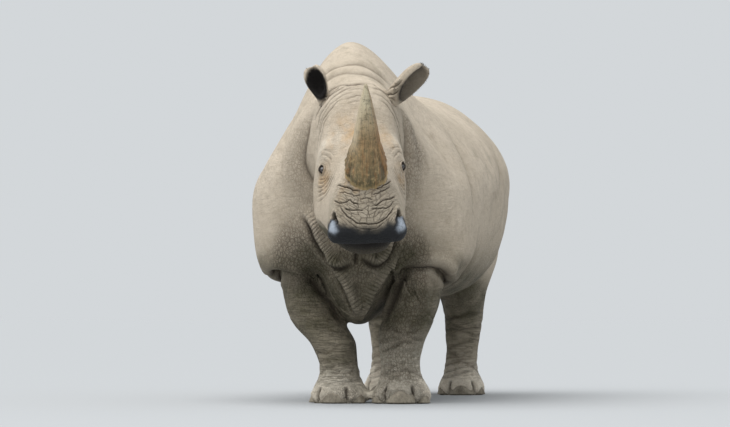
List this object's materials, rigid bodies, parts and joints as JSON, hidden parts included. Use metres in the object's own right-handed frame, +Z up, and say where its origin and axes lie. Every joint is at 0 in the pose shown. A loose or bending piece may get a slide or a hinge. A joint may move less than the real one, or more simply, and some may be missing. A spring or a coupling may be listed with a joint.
{
  "type": "white rhinoceros",
  "caption": "Standing white rhinoceros, life size, head low and turned a little to its left, with a long front horn and a short rear horn.",
  "frame": {"origin": "on the floor, under the middle of the animal's outer box", "axes": "+Z up, nose towards -Y, the animal's left side towards +X"},
  "size_m": [1.144, 3.1692, 1.766],
  "materials": {
    "hide": "dry, creased grey-brown hide with dusty patches",
    "nail": "dull worn keratin",
    "horn": "fibrous keratin, rough at the root and worn smooth towards the tip",
    "eye": "wet gloss",
    "bristle": "coarse dark hair"
  },
  "bodies": {
    "root": {"trunk": "hide", "neck": "hide", "head": "hide", "ear_left": "hide", "ear_right": "hide", "tail": "hide", "leg_front_left": "hide", "foot_front_left": "hide", "leg_front_right": "hide", "foot_front_right": "hide", "leg_hind_left": "hide", "foot_hind_left": "hide", "leg_hind_right": "hide", "foot_hind_right": "hide", "nail_front_left_inner": "nail", "nail_front_left_middle": "nail", "nail_front_left_outer": "nail", "nail_front_right_inner": "nail", "nail_front_right_middle": "nail", "nail_front_right_outer": "nail", "nail_hind_left_inner": "nail", "nail_hind_left_middle": "nail", "nail_hind_left_outer": "nail", "nail_hind_right_inner": "nail", "nail_hind_right_middle": "nail", "nail_hind_right_outer": "nail", "horn_front": "horn", "horn_rear": "horn", "eye_left": "eye", "eye_right": "eye", "tail_tuft": "bristle"}
  },
  "joints": []
}
